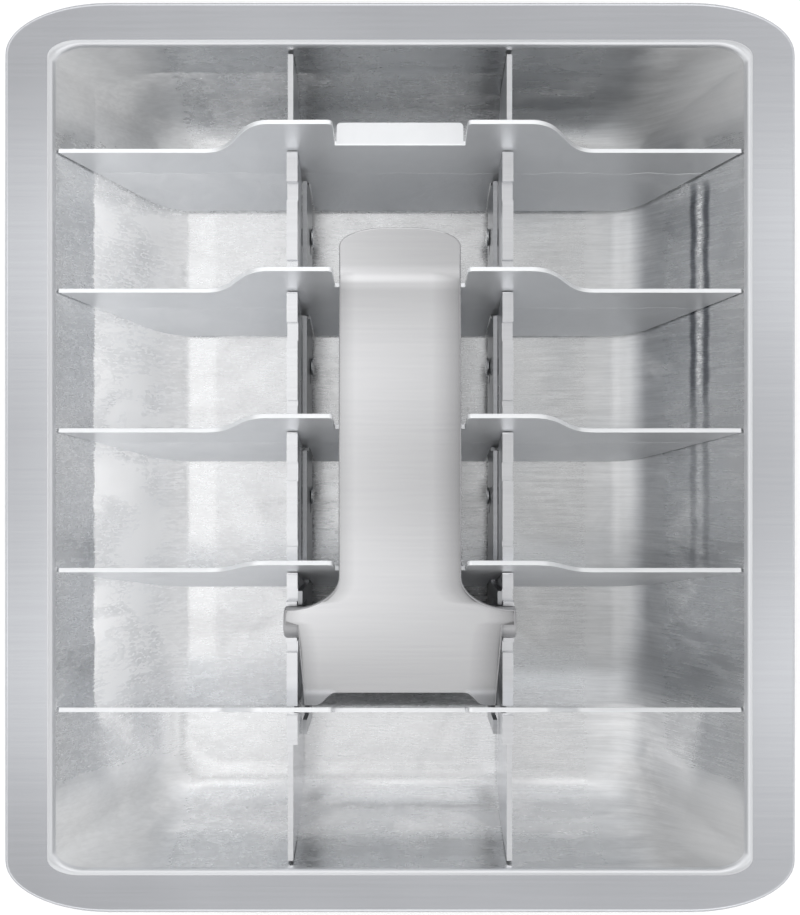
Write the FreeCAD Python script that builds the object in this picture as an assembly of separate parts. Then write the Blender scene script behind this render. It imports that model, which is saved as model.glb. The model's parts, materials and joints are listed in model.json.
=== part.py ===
import FreeCAD, Part
import math
import os

from FreeCAD import Vector

# Lever ice cube tray: a pressed pan, a lift-out grid of two rails and five
# cross blades, two draw strips that tilt the blades, and a lever that works
# them.  Millimetres, +Z up, +Y along the tray towards the lever's tip, origin
# at the middle of the pan's underside.

# ---------------------------------------------------------------- pan
TRAY_LENGTH = 200.0          # over the rim, along Y
TRAY_WIDTH = 173.7           # over the rim, along X
PAN_HEIGHT = 29.0            # underside of the floor to the top of the rim
PAN_SHEET = 0.8              # sheet thickness of the pan
RIM_SIDE = 10.2              # flat rim width on the long sides, to the wall's corner
RIM_END = 9.4                # flat rim width on the short ends, to the wall's corner
RIM_CORNER_X = 23.0          # outer corner of the rim, half-axis along X
RIM_CORNER_Y = 11.5          # outer corner of the rim, half-axis along Y
MOUTH_CORNER_X = 6.9         # corner of the pan's mouth, half-axis along X
MOUTH_CORNER_Y = 3.7         # corner of the pan's mouth, half-axis along Y
FLOOR_CORNER_X = 11.0        # corner where the walls meet the floor, along X
FLOOR_CORNER_Y = 7.0         # corner where the walls meet the floor, along Y
SIDE_SLOPE_RUN = 19.6        # how far a side wall comes in from mouth to floor
END_SLOPE_RUN = 7.6          # how far an end wall comes in from mouth to floor
FLOOR_FILLET = 10.5          # inside radius between wall and floor
MOUTH_ROLL = 1.2             # radius of the sheet as it turns over into the rim
EDGE_ROLL = 1.0              # radius of the rim's outer edge
LIP_DEPTH = 2.6              # height of the turned-down lip round the rim
ARC_STEPS = 5                # flat bands that make up each small radius

# ---------------------------------------------------------------- blades
BLADE_SHEET = 1.0            # thickness of a cross blade
BLADE_PITCH = 30.8           # blade to blade, along Y
BLADE_COUNT = 5
FIRST_BLADE_Y = 67.93        # pivot line of the first blade
LEAN_DEG = 14.2              # lean of the blades, tops towards the lever's tip
PIVOT_BELOW_RIM = 0.0        # blade pivot line below the rim's top
BLADE_LOW_DROP = 1.34        # low top edge under the pivot line, along the blade
SHOULDER_RISE = 9.8          # raised shoulder over the pivot line, along the blade
GAP_EDGE_RISE = 1.65         # middle gap's edge over the pivot line, along the blade
SHOULDER_OUTER_X = 27.5      # where the shoulder's flat top ends
SHOULDER_FOOT_X = 43.0       # where the curve down from the shoulder ends
GAP_HALF_WIDTH = 14.2        # half the gap that the lever lies in
SHOULDER_CORNER = 1.0        # corner radius on the shoulder's inner end
FLOOR_CLEARANCE = 0.5        # blade over the floor when the blade stands upright
WALL_CLEARANCE = 0.45        # blade to the side wall when the blade is upright
BLADE_FOOT_RADIUS = 5.4      # rounded lower corners of a blade
TAB_HALF_WIDTH = 13.8        # folded tab on the first blade
TAB_DEPTH = 4.5              # how far that tab reaches towards the pan's end

# ---------------------------------------------------------------- rails
RAIL_SHEET = 1.2             # thickness of a rail, and of its folded top hem
RAIL_INNER_X = 22.45         # inner face of the rail's folded hem
RAIL_FLOOR_GAP = 0.3         # rail over the pan's floor
RAIL_END_GAP = 0.6           # rail to the pan's end wall
RAIL_TOP = 29.0              # top of the rail between the blades
RAIL_END_TOP = 26.6          # lower top of the rail in the two end rows
HEM_DEPTH = 9.0              # height of the hem, folded to the inside
HEM_PAST_LAST_BLADE = 7.7    # hem beyond the last blade
SLOT_DEPTH = 14.8            # depth of a blade slot in the rail
SLOT_CLEARANCE = 0.3         # blade to the side of its slot
SLOT_MOUTH_GAP = 0.68        # open gap beside the blade at the slot's mouth
NOTCH_START = 7.4            # shallow notch in the top edge, below each blade
NOTCH_LENGTH = 4.1
NOTCH_DEPTH = 1.5
NICK_START = 24.6            # small nick in the top edge, above the next blade
NICK_LENGTH = 1.3
NICK_DEPTH = 1.0

# ---------------------------------------------------------------- draw strips
STRIP_SHEET = 1.0            # thickness of a draw strip
STRIP_RAIL_GAP = 0.15        # strip to the rail's hem, and to the rivets' heads and collars
STRIP_BOTTOM = 5.0
STRIP_TOP = 19.5
STRIP_SLOT_MARGIN = 0.5      # spare half-width of the strip's slot for the tilt
STRIP_END_LAND = 3.2         # strip beyond its end slots
LUG_TOP_DROP = 0.3           # drive lug's top under the lever's axis
LUG_LENGTH = 3.0             # drive lug, along Y

# ---------------------------------------------------------------- rivets
RIVET_SHANK_RADIUS = 0.9
RIVET_HEAD_RADIUS = 2.1
RIVET_HEAD_THICKNESS = 0.6
RIVET_HOLE_CLEARANCE = 0.05
RIVET_SLOT_CLEARANCE = 0.3
RIVET_HEIGHT = 9.5

# ---------------------------------------------------------------- lever
LEVER_SHEET = 0.9            # thickness of the lever's sheet
LEVER_PIVOT_Y = -35.8        # lever axis along Y
LEVER_PIVOT_Z = 30.0         # lever axis over the pan's underside
BARREL_RADIUS = 3.3          # rolled ears that turn in the rails' notches
BARREL_WALL = 1.0
BARREL_CLEARANCE = 0.1       # ear to notch, all round
BARREL_END_X = 25.1          # outer end of an ear
SHEET_OVER_BARREL = 0.7      # top of the sheet over the top of the ears
LEVER_SKIRT = 1.6            # depth of the lever's rolled-down edge
TIP_Y = 49.3                 # lever's tip
TONGUE_HALF_WIDTH = 13.1
TIP_CORNER_X = 10.2          # tip's corner, half-axis along X
TIP_CORNER_Y = 3.9           # tip's corner, half-axis along Y
FLARE_START_Y = -25.4        # where the tongue begins to widen
FLARE_END_RISE = 3.2         # base's front edge ahead of the lever's axis
BASE_FRONT_HALF_WIDTH = 24.7
BASE_HALF_WIDTH = 22.0       # behind the ears
FOOT_HALF_WIDTH = 20.6
FOOT_INNER_X = 18.4
FOOT_BLADE_GAP = 0.4         # feet to the last blade
ARCH_DEPTH = 2.8             # arched cut-out between the feet
ARCH_HALF_WIDTH = 13.4
BOW_RADIUS = 480.0           # gentle bow of the lever along its length
BOW_CROWN_Y = -8.3           # highest line of the bow
BEND_Y = 37.5                # tip is bent up from here
BEND_DEG = 13.5
BEND_RADIUS = 14.0
FLANGE_OUTER_X = 20.9        # flanges under the base, outer face
FLANGE_REAR = 10.4           # flange behind the lever's axis
FLANGE_FRONT = 3.3           # flange ahead of the lever's axis
FLANGE_EDGE = 0.2            # flange outside the cam
CAM_THROW = 3.07             # cam's centre under the lever's axis
CAM_RADIUS = 2.95
CAM_LUG_GAP = 0.7            # cam to drive lug at rest
CAM_RAIL_GAP = 0.25          # cam to the rail's inner face
LIP_LENGTH = 0.95            # small upstands beside each ear
LIP_RISE = 1.4
EAR_RELIEF = 2.6             # lowered rail top either side of the ear
EAR_RELIEF_DEPTH = 1.2

# ---------------------------------------------------------------- worked out
LEAN = math.radians(LEAN_DEG)
PIVOT_Z = PAN_HEIGHT - PIVOT_BELOW_RIM
PIVOT_YS = [FIRST_BLADE_Y - BLADE_PITCH * k for k in range(BLADE_COUNT)]
FLOOR_TOP = PAN_SHEET
MOUTH_X = TRAY_WIDTH / 2 - RIM_SIDE
MOUTH_Y = TRAY_LENGTH / 2 - RIM_END
HALF_SLOT = BLADE_SHEET / (2 * math.cos(LEAN)) + SLOT_CLEARANCE
RAIL_BOTTOM = FLOOR_TOP + RAIL_FLOOR_GAP
RAIL_FACE_X = RAIL_INNER_X + RAIL_SHEET
RAIL_OUTER_X = RAIL_FACE_X + RAIL_SHEET
SLOT_BOTTOM = RAIL_TOP - SLOT_DEPTH
STRIP_OUTER_X = RAIL_INNER_X - STRIP_RAIL_GAP
STRIP_INNER_X = STRIP_OUTER_X - STRIP_SHEET
DRIVE_Z = (SLOT_BOTTOM + STRIP_TOP) / 2
STRIP_TRAVEL = (PIVOT_Z - DRIVE_Z) * math.tan(LEAN)
BOW_CROWN_Z = (LEVER_PIVOT_Z + BARREL_RADIUS + SHEET_OVER_BARREL
               + BOW_RADIUS - math.sqrt(BOW_RADIUS ** 2 - (LEVER_PIVOT_Y - BOW_CROWN_Y) ** 2))
TALL = PAN_HEIGHT * 3        # longer than any cut needs


def quarter(start, corner, end):
    """Quarter of an ellipse from start to end, tangent to both legs."""
    curve = Part.BezierCurve()
    curve.setPoles([start, corner, end])
    curve.setWeight(2, math.sqrt(0.5))
    return curve.toShape()


def ogee(start, end, level):
    """S-shaped curve that leaves start and reaches end level, in the given direction."""
    reach = (end - start).dot(level) / 2
    curve = Part.BezierCurve()
    curve.setPoles([start, start + level * reach, end - level * reach, end])
    return curve.toShape()


def line(start, end):
    return Part.LineSegment(start, end).toShape()


def polygon(points):
    return Part.Face(Part.makePolygon(points + [points[0]]))


def box(x_low, x_high, y_low, y_high, z_low, z_high):
    size = (x_high - x_low, y_high - y_low, z_high - z_low)
    return Part.makeBox(size[0], size[1], size[2], Vector(x_low, y_low, z_low))


def across(radius, x_low, x_high, y, z):
    """Cylinder along X."""
    return Part.makeCylinder(radius, x_high - x_low, Vector(x_low, y, z), Vector(1, 0, 0))


def side_plate(points, x_low, x_high):
    """Plate of the outline points (y, z), between two planes across X."""
    face = polygon([Vector(x_low, y, z) for y, z in points])
    return face.extrude(Vector(x_high - x_low, 0, 0))


def mirrored(shape):
    return shape.mirror(Vector(0, 0, 0), Vector(1, 0, 0))


def whole(shape):
    """The shape as one plain solid with its seams merged."""
    merged = shape.removeSplitter()
    return merged.Solids[0] if len(merged.Solids) == 1 else merged


# ---------------------------------------------------------------- pan
class Wall:
    """Slope of one pair of pan walls, as half-widths at each height."""

    def __init__(self, mouth, run):
        self.mouth = mouth
        self.tangent = run / (PAN_HEIGHT - PAN_SHEET)
        self.slope = math.atan(self.tangent)

    def straight(self, z, skin):
        """Half-width of the straight wall; skin is how far outside the inner face."""
        return self.mouth - (PAN_HEIGHT - z) * self.tangent + skin / math.cos(self.slope)

    def floor_tangent(self, floor, radius):
        """Height where the floor fillet meets the straight wall."""
        return floor + radius * (1 - math.sin(self.slope))

    def roll_tangent(self, top, radius):
        """Height where the mouth's roll meets the straight wall."""
        return top - radius * (1 - math.sin(self.slope))

    def half(self, z, skin, floor, fillet, top, roll):
        low = self.floor_tangent(floor, fillet)
        high = self.roll_tangent(top, roll)
        if z < low:
            centre = self.straight(low, skin) - fillet * math.cos(self.slope)
            return centre + math.sqrt(max(fillet ** 2 - (floor + fillet - z) ** 2, 0))
        if z > high:
            centre = self.straight(high, skin) + roll * math.cos(self.slope)
            return centre - math.sqrt(max(roll ** 2 - (z - top + roll) ** 2, 0))
        return self.straight(z, skin)


SIDE_WALL = Wall(MOUTH_X, SIDE_SLOPE_RUN)
END_WALL = Wall(MOUTH_Y, END_SLOPE_RUN)


def rounded_wire(half_x, half_y, corner_x, corner_y, z):
    """Rectangle with elliptical corners, level at z."""
    edges = []
    for sign_x, sign_y in ((1, 1), (-1, 1), (-1, -1), (1, -1)):
        side = Vector(sign_x * half_x, sign_y * (half_y - corner_y), z)
        tip = Vector(sign_x * half_x, sign_y * half_y, z)
        end = Vector(sign_x * (half_x - corner_x), sign_y * half_y, z)
        if sign_x * sign_y > 0:
            edges.append(quarter(side, tip, end))
        else:
            edges.append(quarter(end, tip, side))
    loop = []
    for index, edge in enumerate(edges):
        following = edges[(index + 1) % 4]
        loop += [edge, line(edge.lastVertex().Point, following.firstVertex().Point)]
    return Part.Wire(loop)


def heights(floor, fillet, top, roll):
    """Levels of the pan's sections, close together round the two radii."""
    low = max(SIDE_WALL.floor_tangent(floor, fillet), END_WALL.floor_tangent(floor, fillet))
    high = min(SIDE_WALL.roll_tangent(top, roll), END_WALL.roll_tangent(top, roll))
    steps = [math.radians(90.0) * k / ARC_STEPS for k in range(ARC_STEPS + 1)]
    rise = [floor + (low - floor) * (1 - math.cos(a)) for a in steps]
    turn = [top - (top - high) * (1 - math.sin(a)) for a in steps]
    return rise, turn


def wall_wire(z, skin, floor, fillet, top, roll):
    share = (z - floor) / (top - floor)
    corner_x = FLOOR_CORNER_X + (MOUTH_CORNER_X - FLOOR_CORNER_X) * share + skin
    corner_y = FLOOR_CORNER_Y + (MOUTH_CORNER_Y - FLOOR_CORNER_Y) * share + skin
    half_x = SIDE_WALL.half(z, skin, floor, fillet, top, roll)
    half_y = END_WALL.half(z, skin, floor, fillet, top, roll)
    return rounded_wire(half_x, half_y, corner_x, corner_y, z)


def rim_wire(inset, z):
    return rounded_wire(TRAY_WIDTH / 2 - inset, TRAY_LENGTH / 2 - inset,
                        RIM_CORNER_X - inset, RIM_CORNER_Y - inset, z)


def tub(skin, floor, fillet, top, roll):
    """Solid that fills the pan's walls up to the rim, skin outside the inner face."""
    rise, turn = heights(floor, fillet, top, roll)
    wires = [wall_wire(z, skin, floor, fillet, top, roll) for z in rise + turn]
    return Part.makeLoft(wires, True, True)


def make_rim():
    """Flat rim with its rolled edge and the lip turned down round it."""
    lip_bottom = PAN_HEIGHT - LIP_DEPTH
    wires = [rim_wire(0.0, lip_bottom)]
    for k in range(ARC_STEPS + 1):
        angle = math.radians(90.0) * k / ARC_STEPS
        wires.append(rim_wire(EDGE_ROLL * (1 - math.cos(angle)),
                              PAN_HEIGHT - EDGE_ROLL * (1 - math.sin(angle))))
    under = [rim_wire(2 * PAN_SHEET, lip_bottom), rim_wire(2 * PAN_SHEET, PAN_HEIGHT - PAN_SHEET)]
    return Part.makeLoft(wires, True, True).cut(Part.makeLoft(under, True, True))


def make_pan():
    inner = tub(0.0, FLOOR_TOP, FLOOR_FILLET, PAN_HEIGHT, MOUTH_ROLL)
    outer = tub(PAN_SHEET, 0.0, FLOOR_FILLET + PAN_SHEET, PAN_HEIGHT - PAN_SHEET,
                MOUTH_ROLL - PAN_SHEET)
    return whole(make_rim().fuse(outer).cut(inner))


# ---------------------------------------------------------------- blades
def blade_outline():
    """Upright blade as a face in the XZ plane, with the pivot line at z = PIVOT_Z."""
    low = PIVOT_Z - BLADE_LOW_DROP
    high = PIVOT_Z + SHOULDER_RISE
    gap = PIVOT_Z + GAP_EDGE_RISE
    bottom = FLOOR_TOP + FLOOR_CLEARANCE
    top_x = SIDE_WALL.straight(low, 0) - WALL_CLEARANCE
    bottom_x = SIDE_WALL.straight(bottom, 0) - WALL_CLEARANCE
    down = Vector(bottom_x - top_x, 0, bottom - low).normalize()
    foot = Vector(bottom_x, 0, bottom)
    level = Vector(-1, 0, 0)
    edges = []
    for sign in (1, -1):
        def at(x, z):
            return Vector(sign * x, 0, z)
        knee = at(top_x, low)
        up = foot - down * BLADE_FOOT_RADIUS
        edges += [
            line(at(0, gap), at(GAP_HALF_WIDTH, gap)),
            line(at(GAP_HALF_WIDTH, gap), at(GAP_HALF_WIDTH, high - SHOULDER_CORNER)),
            quarter(at(GAP_HALF_WIDTH, high - SHOULDER_CORNER), at(GAP_HALF_WIDTH, high),
                    at(GAP_HALF_WIDTH + SHOULDER_CORNER, high)),
            line(at(GAP_HALF_WIDTH + SHOULDER_CORNER, high), at(SHOULDER_OUTER_X, high)),
            ogee(at(SHOULDER_OUTER_X, high), at(SHOULDER_FOOT_X, low), level * -sign),
            line(at(SHOULDER_FOOT_X, low), knee),
            line(knee, at(up.x, up.z)),
            quarter(at(up.x, up.z), at(foot.x, foot.z), at(foot.x - BLADE_FOOT_RADIUS, bottom)),
            line(at(foot.x - BLADE_FOOT_RADIUS, bottom), at(0, bottom)),
        ]
    ordered = Part.sortEdges(edges)[0]
    return Part.Face(Part.Wire(ordered))


def lean(shape, y):
    """Move an upright blade to its pivot line and lean it."""
    moved = shape.copy()
    moved.translate(Vector(0, y, 0))
    moved.rotate(Vector(0, y, PIVOT_Z), Vector(1, 0, 0), -LEAN_DEG)
    return moved


def make_blade(index):
    y = PIVOT_YS[index]
    face = blade_outline()
    face.translate(Vector(0, -BLADE_SHEET / 2, 0))
    blade = face.extrude(Vector(0, BLADE_SHEET, 0))
    slot_top = SLOT_BOTTOM + FLOOR_CLEARANCE
    for sign in (1, -1):
        x_pair = sorted((sign * (STRIP_INNER_X - SLOT_CLEARANCE), sign * (RAIL_OUTER_X + SLOT_CLEARANCE)))
        blade = blade.cut(box(x_pair[0], x_pair[1], -BLADE_SHEET, BLADE_SHEET, 0, slot_top))
    blade = lean(blade, y)
    if index == 0:
        edge_z = PIVOT_Z + GAP_EDGE_RISE * math.cos(LEAN)
        edge_y = y + GAP_EDGE_RISE * math.sin(LEAN)
        tab = box(-TAB_HALF_WIDTH, TAB_HALF_WIDTH, edge_y - BLADE_SHEET / 2, edge_y + TAB_DEPTH,
                  edge_z - BLADE_SHEET, edge_z)
        corners = [e for e in tab.Edges if e.BoundBox.YMin > edge_y and e.BoundBox.ZLength > 0.1]
        tab = tab.makeFillet(BLADE_SHEET, corners)
        blade = blade.fuse(tab)
    return whole(blade)


# ---------------------------------------------------------------- rails
def slot_outline(y):
    """Blade slot in a rail: it lets the blade swing from leaning to upright."""
    sweep = SLOT_DEPTH * math.tan(LEAN)
    over = RAIL_TOP + SLOT_DEPTH
    return [(y + HALF_SLOT, over), (y + HALF_SLOT, SLOT_BOTTOM),
            (y - HALF_SLOT - sweep, SLOT_BOTTOM), (y - HALF_SLOT, RAIL_TOP - SLOT_CLEARANCE),
            (y - HALF_SLOT - SLOT_MOUTH_GAP + SLOT_CLEARANCE, RAIL_TOP - SLOT_CLEARANCE),
            (y - HALF_SLOT - SLOT_MOUTH_GAP + SLOT_CLEARANCE, over)]


def rail_top_cuts():
    """Notches and nicks in the rail's top edge, as (y low, y high, z)."""
    cuts = []
    for y in PIVOT_YS[:-1]:
        notch = y - NOTCH_START
        nick = y - NICK_START
        if notch - NOTCH_LENGTH > LEVER_PIVOT_Y + BARREL_RADIUS + EAR_RELIEF:
            cuts.append((notch - NOTCH_LENGTH, notch, RAIL_TOP - NOTCH_DEPTH))
            cuts.append((nick - NICK_LENGTH, nick, RAIL_TOP - NICK_DEPTH))
    return cuts


def rivet_ys():
    return [(upper + lower) / 2 for upper, lower in zip(PIVOT_YS, PIVOT_YS[1:])]


def make_rail(sign):
    hem_low = PIVOT_YS[-1] - HEM_PAST_LAST_BLADE
    hem_high = PIVOT_YS[0] - HALF_SLOT
    end_low = END_WALL.half(RAIL_BOTTOM, 0, FLOOR_TOP, FLOOR_FILLET, PAN_HEIGHT, MOUTH_ROLL) - RAIL_END_GAP
    end_knee = END_WALL.straight(RAIL_BOTTOM + FLOOR_FILLET, 0) - RAIL_END_GAP
    end_high = END_WALL.straight(RAIL_END_TOP, 0) - RAIL_END_GAP
    knee_z = RAIL_BOTTOM + FLOOR_FILLET
    step_high = PIVOT_YS[0] + HALF_SLOT + SLOT_CLEARANCE
    outline = [(-end_low, RAIL_BOTTOM), (end_low, RAIL_BOTTOM), (end_knee, knee_z),
               (end_high, RAIL_END_TOP), (step_high, RAIL_END_TOP), (step_high, RAIL_TOP),
               (hem_low, RAIL_TOP), (hem_low, RAIL_END_TOP), (-end_high, RAIL_END_TOP),
               (-end_knee, knee_z)]
    rail = side_plate(outline, RAIL_FACE_X, RAIL_OUTER_X)
    rail = rail.fuse(box(RAIL_INNER_X, RAIL_FACE_X, hem_low, hem_high, RAIL_TOP - HEM_DEPTH, RAIL_TOP))
    ear_gap = BARREL_RADIUS + BARREL_CLEARANCE
    for side in (1, -1):
        near = LEVER_PIVOT_Y + side * ear_gap
        far = near + side * LIP_LENGTH
        y_pair = sorted((near, far))
        rail = rail.fuse(box(RAIL_INNER_X, RAIL_OUTER_X, y_pair[0], y_pair[1],
                             RAIL_TOP - EAR_RELIEF_DEPTH, RAIL_TOP + LIP_RISE))
        y_pair = sorted((far, far + side * EAR_RELIEF))
        rail = rail.cut(box(RAIL_INNER_X, RAIL_OUTER_X, y_pair[0], y_pair[1],
                            RAIL_TOP - EAR_RELIEF_DEPTH, TALL))
    for y_low, y_high, z in rail_top_cuts():
        rail = rail.cut(box(RAIL_INNER_X, RAIL_OUTER_X, y_low, y_high, z, TALL))
    for y in PIVOT_YS:
        rail = rail.cut(side_plate(slot_outline(y), RAIL_INNER_X - 1, RAIL_OUTER_X + 1))
    notch = across(ear_gap, RAIL_INNER_X - 1, RAIL_OUTER_X + 1, LEVER_PIVOT_Y, LEVER_PIVOT_Z)
    mouth = box(RAIL_INNER_X - 1, RAIL_OUTER_X + 1, LEVER_PIVOT_Y - ear_gap, LEVER_PIVOT_Y + ear_gap,
                LEVER_PIVOT_Z, TALL)
    rail = rail.cut(notch).cut(mouth)
    for y in rivet_ys():
        rail = rail.cut(across(RIVET_SHANK_RADIUS + RIVET_HOLE_CLEARANCE, RAIL_FACE_X - 1,
                               RAIL_OUTER_X + 1, y, RIVET_HEIGHT))
    rail = whole(rail)
    return rail if sign > 0 else mirrored(rail)


def make_rivets(sign):
    """Rivets of one side: shank through rail and strip, a collar between them, a head at each end."""
    head_outer = STRIP_INNER_X - STRIP_RAIL_GAP
    rivets = []
    for y in rivet_ys():
        rivet = across(RIVET_SHANK_RADIUS, head_outer, RAIL_OUTER_X, y, RIVET_HEIGHT)
        rivet = rivet.fuse(across(RIVET_HEAD_RADIUS, head_outer - RIVET_HEAD_THICKNESS, head_outer,
                                  y, RIVET_HEIGHT))
        rivet = rivet.fuse(across(RIVET_HEAD_RADIUS, STRIP_OUTER_X + STRIP_RAIL_GAP, RAIL_FACE_X,
                                  y, RIVET_HEIGHT))
        rivet = rivet.fuse(across(RIVET_HEAD_RADIUS, RAIL_OUTER_X, RAIL_OUTER_X + RIVET_HEAD_THICKNESS,
                                  y, RIVET_HEIGHT))
        rivets.append(whole(rivet))
    group = Part.makeCompound(rivets)
    return group if sign > 0 else mirrored(group)


# ---------------------------------------------------------------- draw strips
def make_strip(sign):
    tilt = (STRIP_TOP - SLOT_BOTTOM) / 2 * math.tan(LEAN)
    half_slot = BLADE_SHEET / 2 + tilt + STRIP_SLOT_MARGIN
    slot_ys = [y - STRIP_TRAVEL for y in PIVOT_YS]
    y_high = slot_ys[0] + half_slot + STRIP_END_LAND
    y_low = slot_ys[-1] - half_slot - STRIP_END_LAND
    strip = box(STRIP_INNER_X, STRIP_OUTER_X, y_low, y_high, STRIP_BOTTOM, STRIP_TOP)
    lug_y = LEVER_PIVOT_Y + CAM_RADIUS + CAM_LUG_GAP
    lug_top = LEVER_PIVOT_Z - LUG_TOP_DROP
    strip = strip.fuse(box(STRIP_INNER_X, STRIP_OUTER_X, lug_y, lug_y + LUG_LENGTH,
                           STRIP_BOTTOM, lug_top))
    for y in slot_ys:
        strip = strip.cut(box(STRIP_INNER_X, STRIP_OUTER_X, y - half_slot, y + half_slot,
                              SLOT_BOTTOM - STRIP_RAIL_GAP, STRIP_TOP))
    slack = RIVET_SHANK_RADIUS + RIVET_SLOT_CLEARANCE
    for y in rivet_ys():
        for centre in (y, y - STRIP_TRAVEL):
            strip = strip.cut(across(slack, STRIP_INNER_X - 1, STRIP_OUTER_X + 1, centre, RIVET_HEIGHT))
        strip = strip.cut(box(STRIP_INNER_X, STRIP_OUTER_X, y - STRIP_TRAVEL, y,
                              RIVET_HEIGHT - slack, RIVET_HEIGHT + slack))
    strip = whole(strip)
    return strip if sign > 0 else mirrored(strip)


# ---------------------------------------------------------------- lever
def sheet_top(y):
    """Height of the bowed sheet's top face."""
    return BOW_CROWN_Z - BOW_RADIUS + math.sqrt(BOW_RADIUS ** 2 - (y - BOW_CROWN_Y) ** 2)


def foot_y():
    """Rear end of the lever's feet, just clear of the last blade."""
    rise = sheet_top(PIVOT_YS[-1]) - PIVOT_Z
    face = PIVOT_YS[-1] + rise * math.tan(LEAN) + BLADE_SHEET / (2 * math.cos(LEAN))
    return face + FOOT_BLADE_GAP


def lever_outline(inset):
    """Plan outline of the lever, drawn in by inset all round."""
    rear = foot_y() + inset
    arch = foot_y() + ARCH_DEPTH + inset
    tip = TIP_Y - inset
    tongue = TONGUE_HALF_WIDTH - inset
    flare_end = LEVER_PIVOT_Y + FLARE_END_RISE - inset
    front = BASE_FRONT_HALF_WIDTH - inset
    level = Vector(-1, 0, 0)
    edges = []
    for sign in (1, -1):
        def at(x, y):
            return Vector(sign * x, y, 0)
        base = at(BASE_HALF_WIDTH - inset, LEVER_PIVOT_Y)
        foot = at(FOOT_HALF_WIDTH - inset, rear)
        edges += [
            line(at(0, tip), at(TONGUE_HALF_WIDTH - TIP_CORNER_X, tip)),
            quarter(at(TONGUE_HALF_WIDTH - TIP_CORNER_X, tip), at(tongue, tip),
                    at(tongue, TIP_Y - TIP_CORNER_Y)),
            line(at(tongue, TIP_Y - TIP_CORNER_Y), at(tongue, FLARE_START_Y)),
            quarter(at(tongue, FLARE_START_Y), at(tongue, flare_end), at(front, flare_end)),
            line(at(front, flare_end), at(front, LEVER_PIVOT_Y)),
            line(at(front, LEVER_PIVOT_Y), base),
            line(base, foot),
            line(foot, at(FOOT_INNER_X + inset, rear)),
            ogee(at(FOOT_INNER_X + inset, rear), at(ARCH_HALF_WIDTH + inset, arch), level * sign),
            line(at(ARCH_HALF_WIDTH + inset, arch), at(0, arch)),
        ]
    return Part.Face(Part.Wire(Part.sortEdges(edges)[0]))


def on_circle(centre, radius, angle):
    """Point of a circle across X; the angle is from straight up, towards +Y."""
    return centre + Vector(0, math.sin(angle), math.cos(angle)) * radius


def arc(centre, radius, start, end):
    middle = (start + end) / 2
    return Part.Arc(*[on_circle(centre, radius, angle) for angle in (start, middle, end)]).toShape()


def bent_sheet(depth):
    """Slab of the lever's side profile, depth thick: a gentle bow with its tip bent up."""
    wide = TRAY_WIDTH / 2
    bow_centre = Vector(-wide, BOW_CROWN_Y, BOW_CROWN_Z - BOW_RADIUS)
    rear = math.asin((foot_y() - 1 - BOW_CROWN_Y) / BOW_RADIUS)
    front = math.asin((BEND_Y - BOW_CROWN_Y) / BOW_RADIUS)
    bend_centre = on_circle(bow_centre, BOW_RADIUS + BEND_RADIUS, front)
    tip = front - math.radians(BEND_DEG)
    along = Vector(0, math.cos(tip), -math.sin(tip)) * (TIP_Y - BEND_Y + BEND_RADIUS)
    over, under = on_circle(bend_centre, -BEND_RADIUS, tip), on_circle(bend_centre, -BEND_RADIUS - depth, tip)
    outline = [
        arc(bow_centre, BOW_RADIUS, rear, front),
        arc(bend_centre, -BEND_RADIUS, front, tip),
        line(over, over + along),
        line(over + along, under + along),
        line(under + along, under),
        arc(bend_centre, -BEND_RADIUS - depth, tip, front),
        arc(bow_centre, BOW_RADIUS - depth, front, rear),
        line(on_circle(bow_centre, BOW_RADIUS - depth, rear), on_circle(bow_centre, BOW_RADIUS, rear)),
    ]
    return Part.Face(Part.Wire(outline)).extrude(Vector(2 * wide, 0, 0))


def make_lever():
    raised = Vector(0, 0, TALL)
    full = lever_outline(0.0).extrude(raised)
    ring = full.cut(lever_outline(LEVER_SHEET).extrude(raised))
    lever = full.common(bent_sheet(LEVER_SHEET)).fuse(ring.common(bent_sheet(LEVER_SKIRT)))
    cam_z = LEVER_PIVOT_Z - CAM_THROW
    flange_rear = LEVER_PIVOT_Y - FLANGE_REAR
    for sign in (1, -1):
        flange = side_plate([
            (flange_rear, sheet_top(flange_rear) - LEVER_SHEET / 2),
            (flange_rear, sheet_top(flange_rear) - LEVER_SKIRT * 2),
            (LEVER_PIVOT_Y - FLANGE_FRONT, cam_z - CAM_RADIUS + CAM_THROW),
            (LEVER_PIVOT_Y - FLANGE_FRONT, cam_z),
            (LEVER_PIVOT_Y + FLANGE_FRONT, cam_z),
            (LEVER_PIVOT_Y + FLANGE_FRONT, sheet_top(LEVER_PIVOT_Y + FLANGE_FRONT) - LEVER_SHEET / 2)],
            FLANGE_OUTER_X - LEVER_SHEET, FLANGE_OUTER_X)
        flange = flange.fuse(across(CAM_RADIUS + FLANGE_EDGE, FLANGE_OUTER_X - LEVER_SHEET,
                                    FLANGE_OUTER_X, LEVER_PIVOT_Y, cam_z))
        cam = across(CAM_RADIUS, FLANGE_OUTER_X - LEVER_SHEET / 2, RAIL_INNER_X - CAM_RAIL_GAP,
                     LEVER_PIVOT_Y, cam_z)
        barrel = across(BARREL_RADIUS, FLANGE_OUTER_X - LEVER_SHEET, BARREL_END_X,
                        LEVER_PIVOT_Y, LEVER_PIVOT_Z)
        bore = across(BARREL_RADIUS - BARREL_WALL, RAIL_INNER_X, BARREL_END_X + 1,
                      LEVER_PIVOT_Y, LEVER_PIVOT_Z)
        side = flange.fuse(cam).fuse(barrel).cut(bore)
        lever = lever.fuse(side if sign > 0 else mirrored(side))
    return whole(lever)


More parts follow.
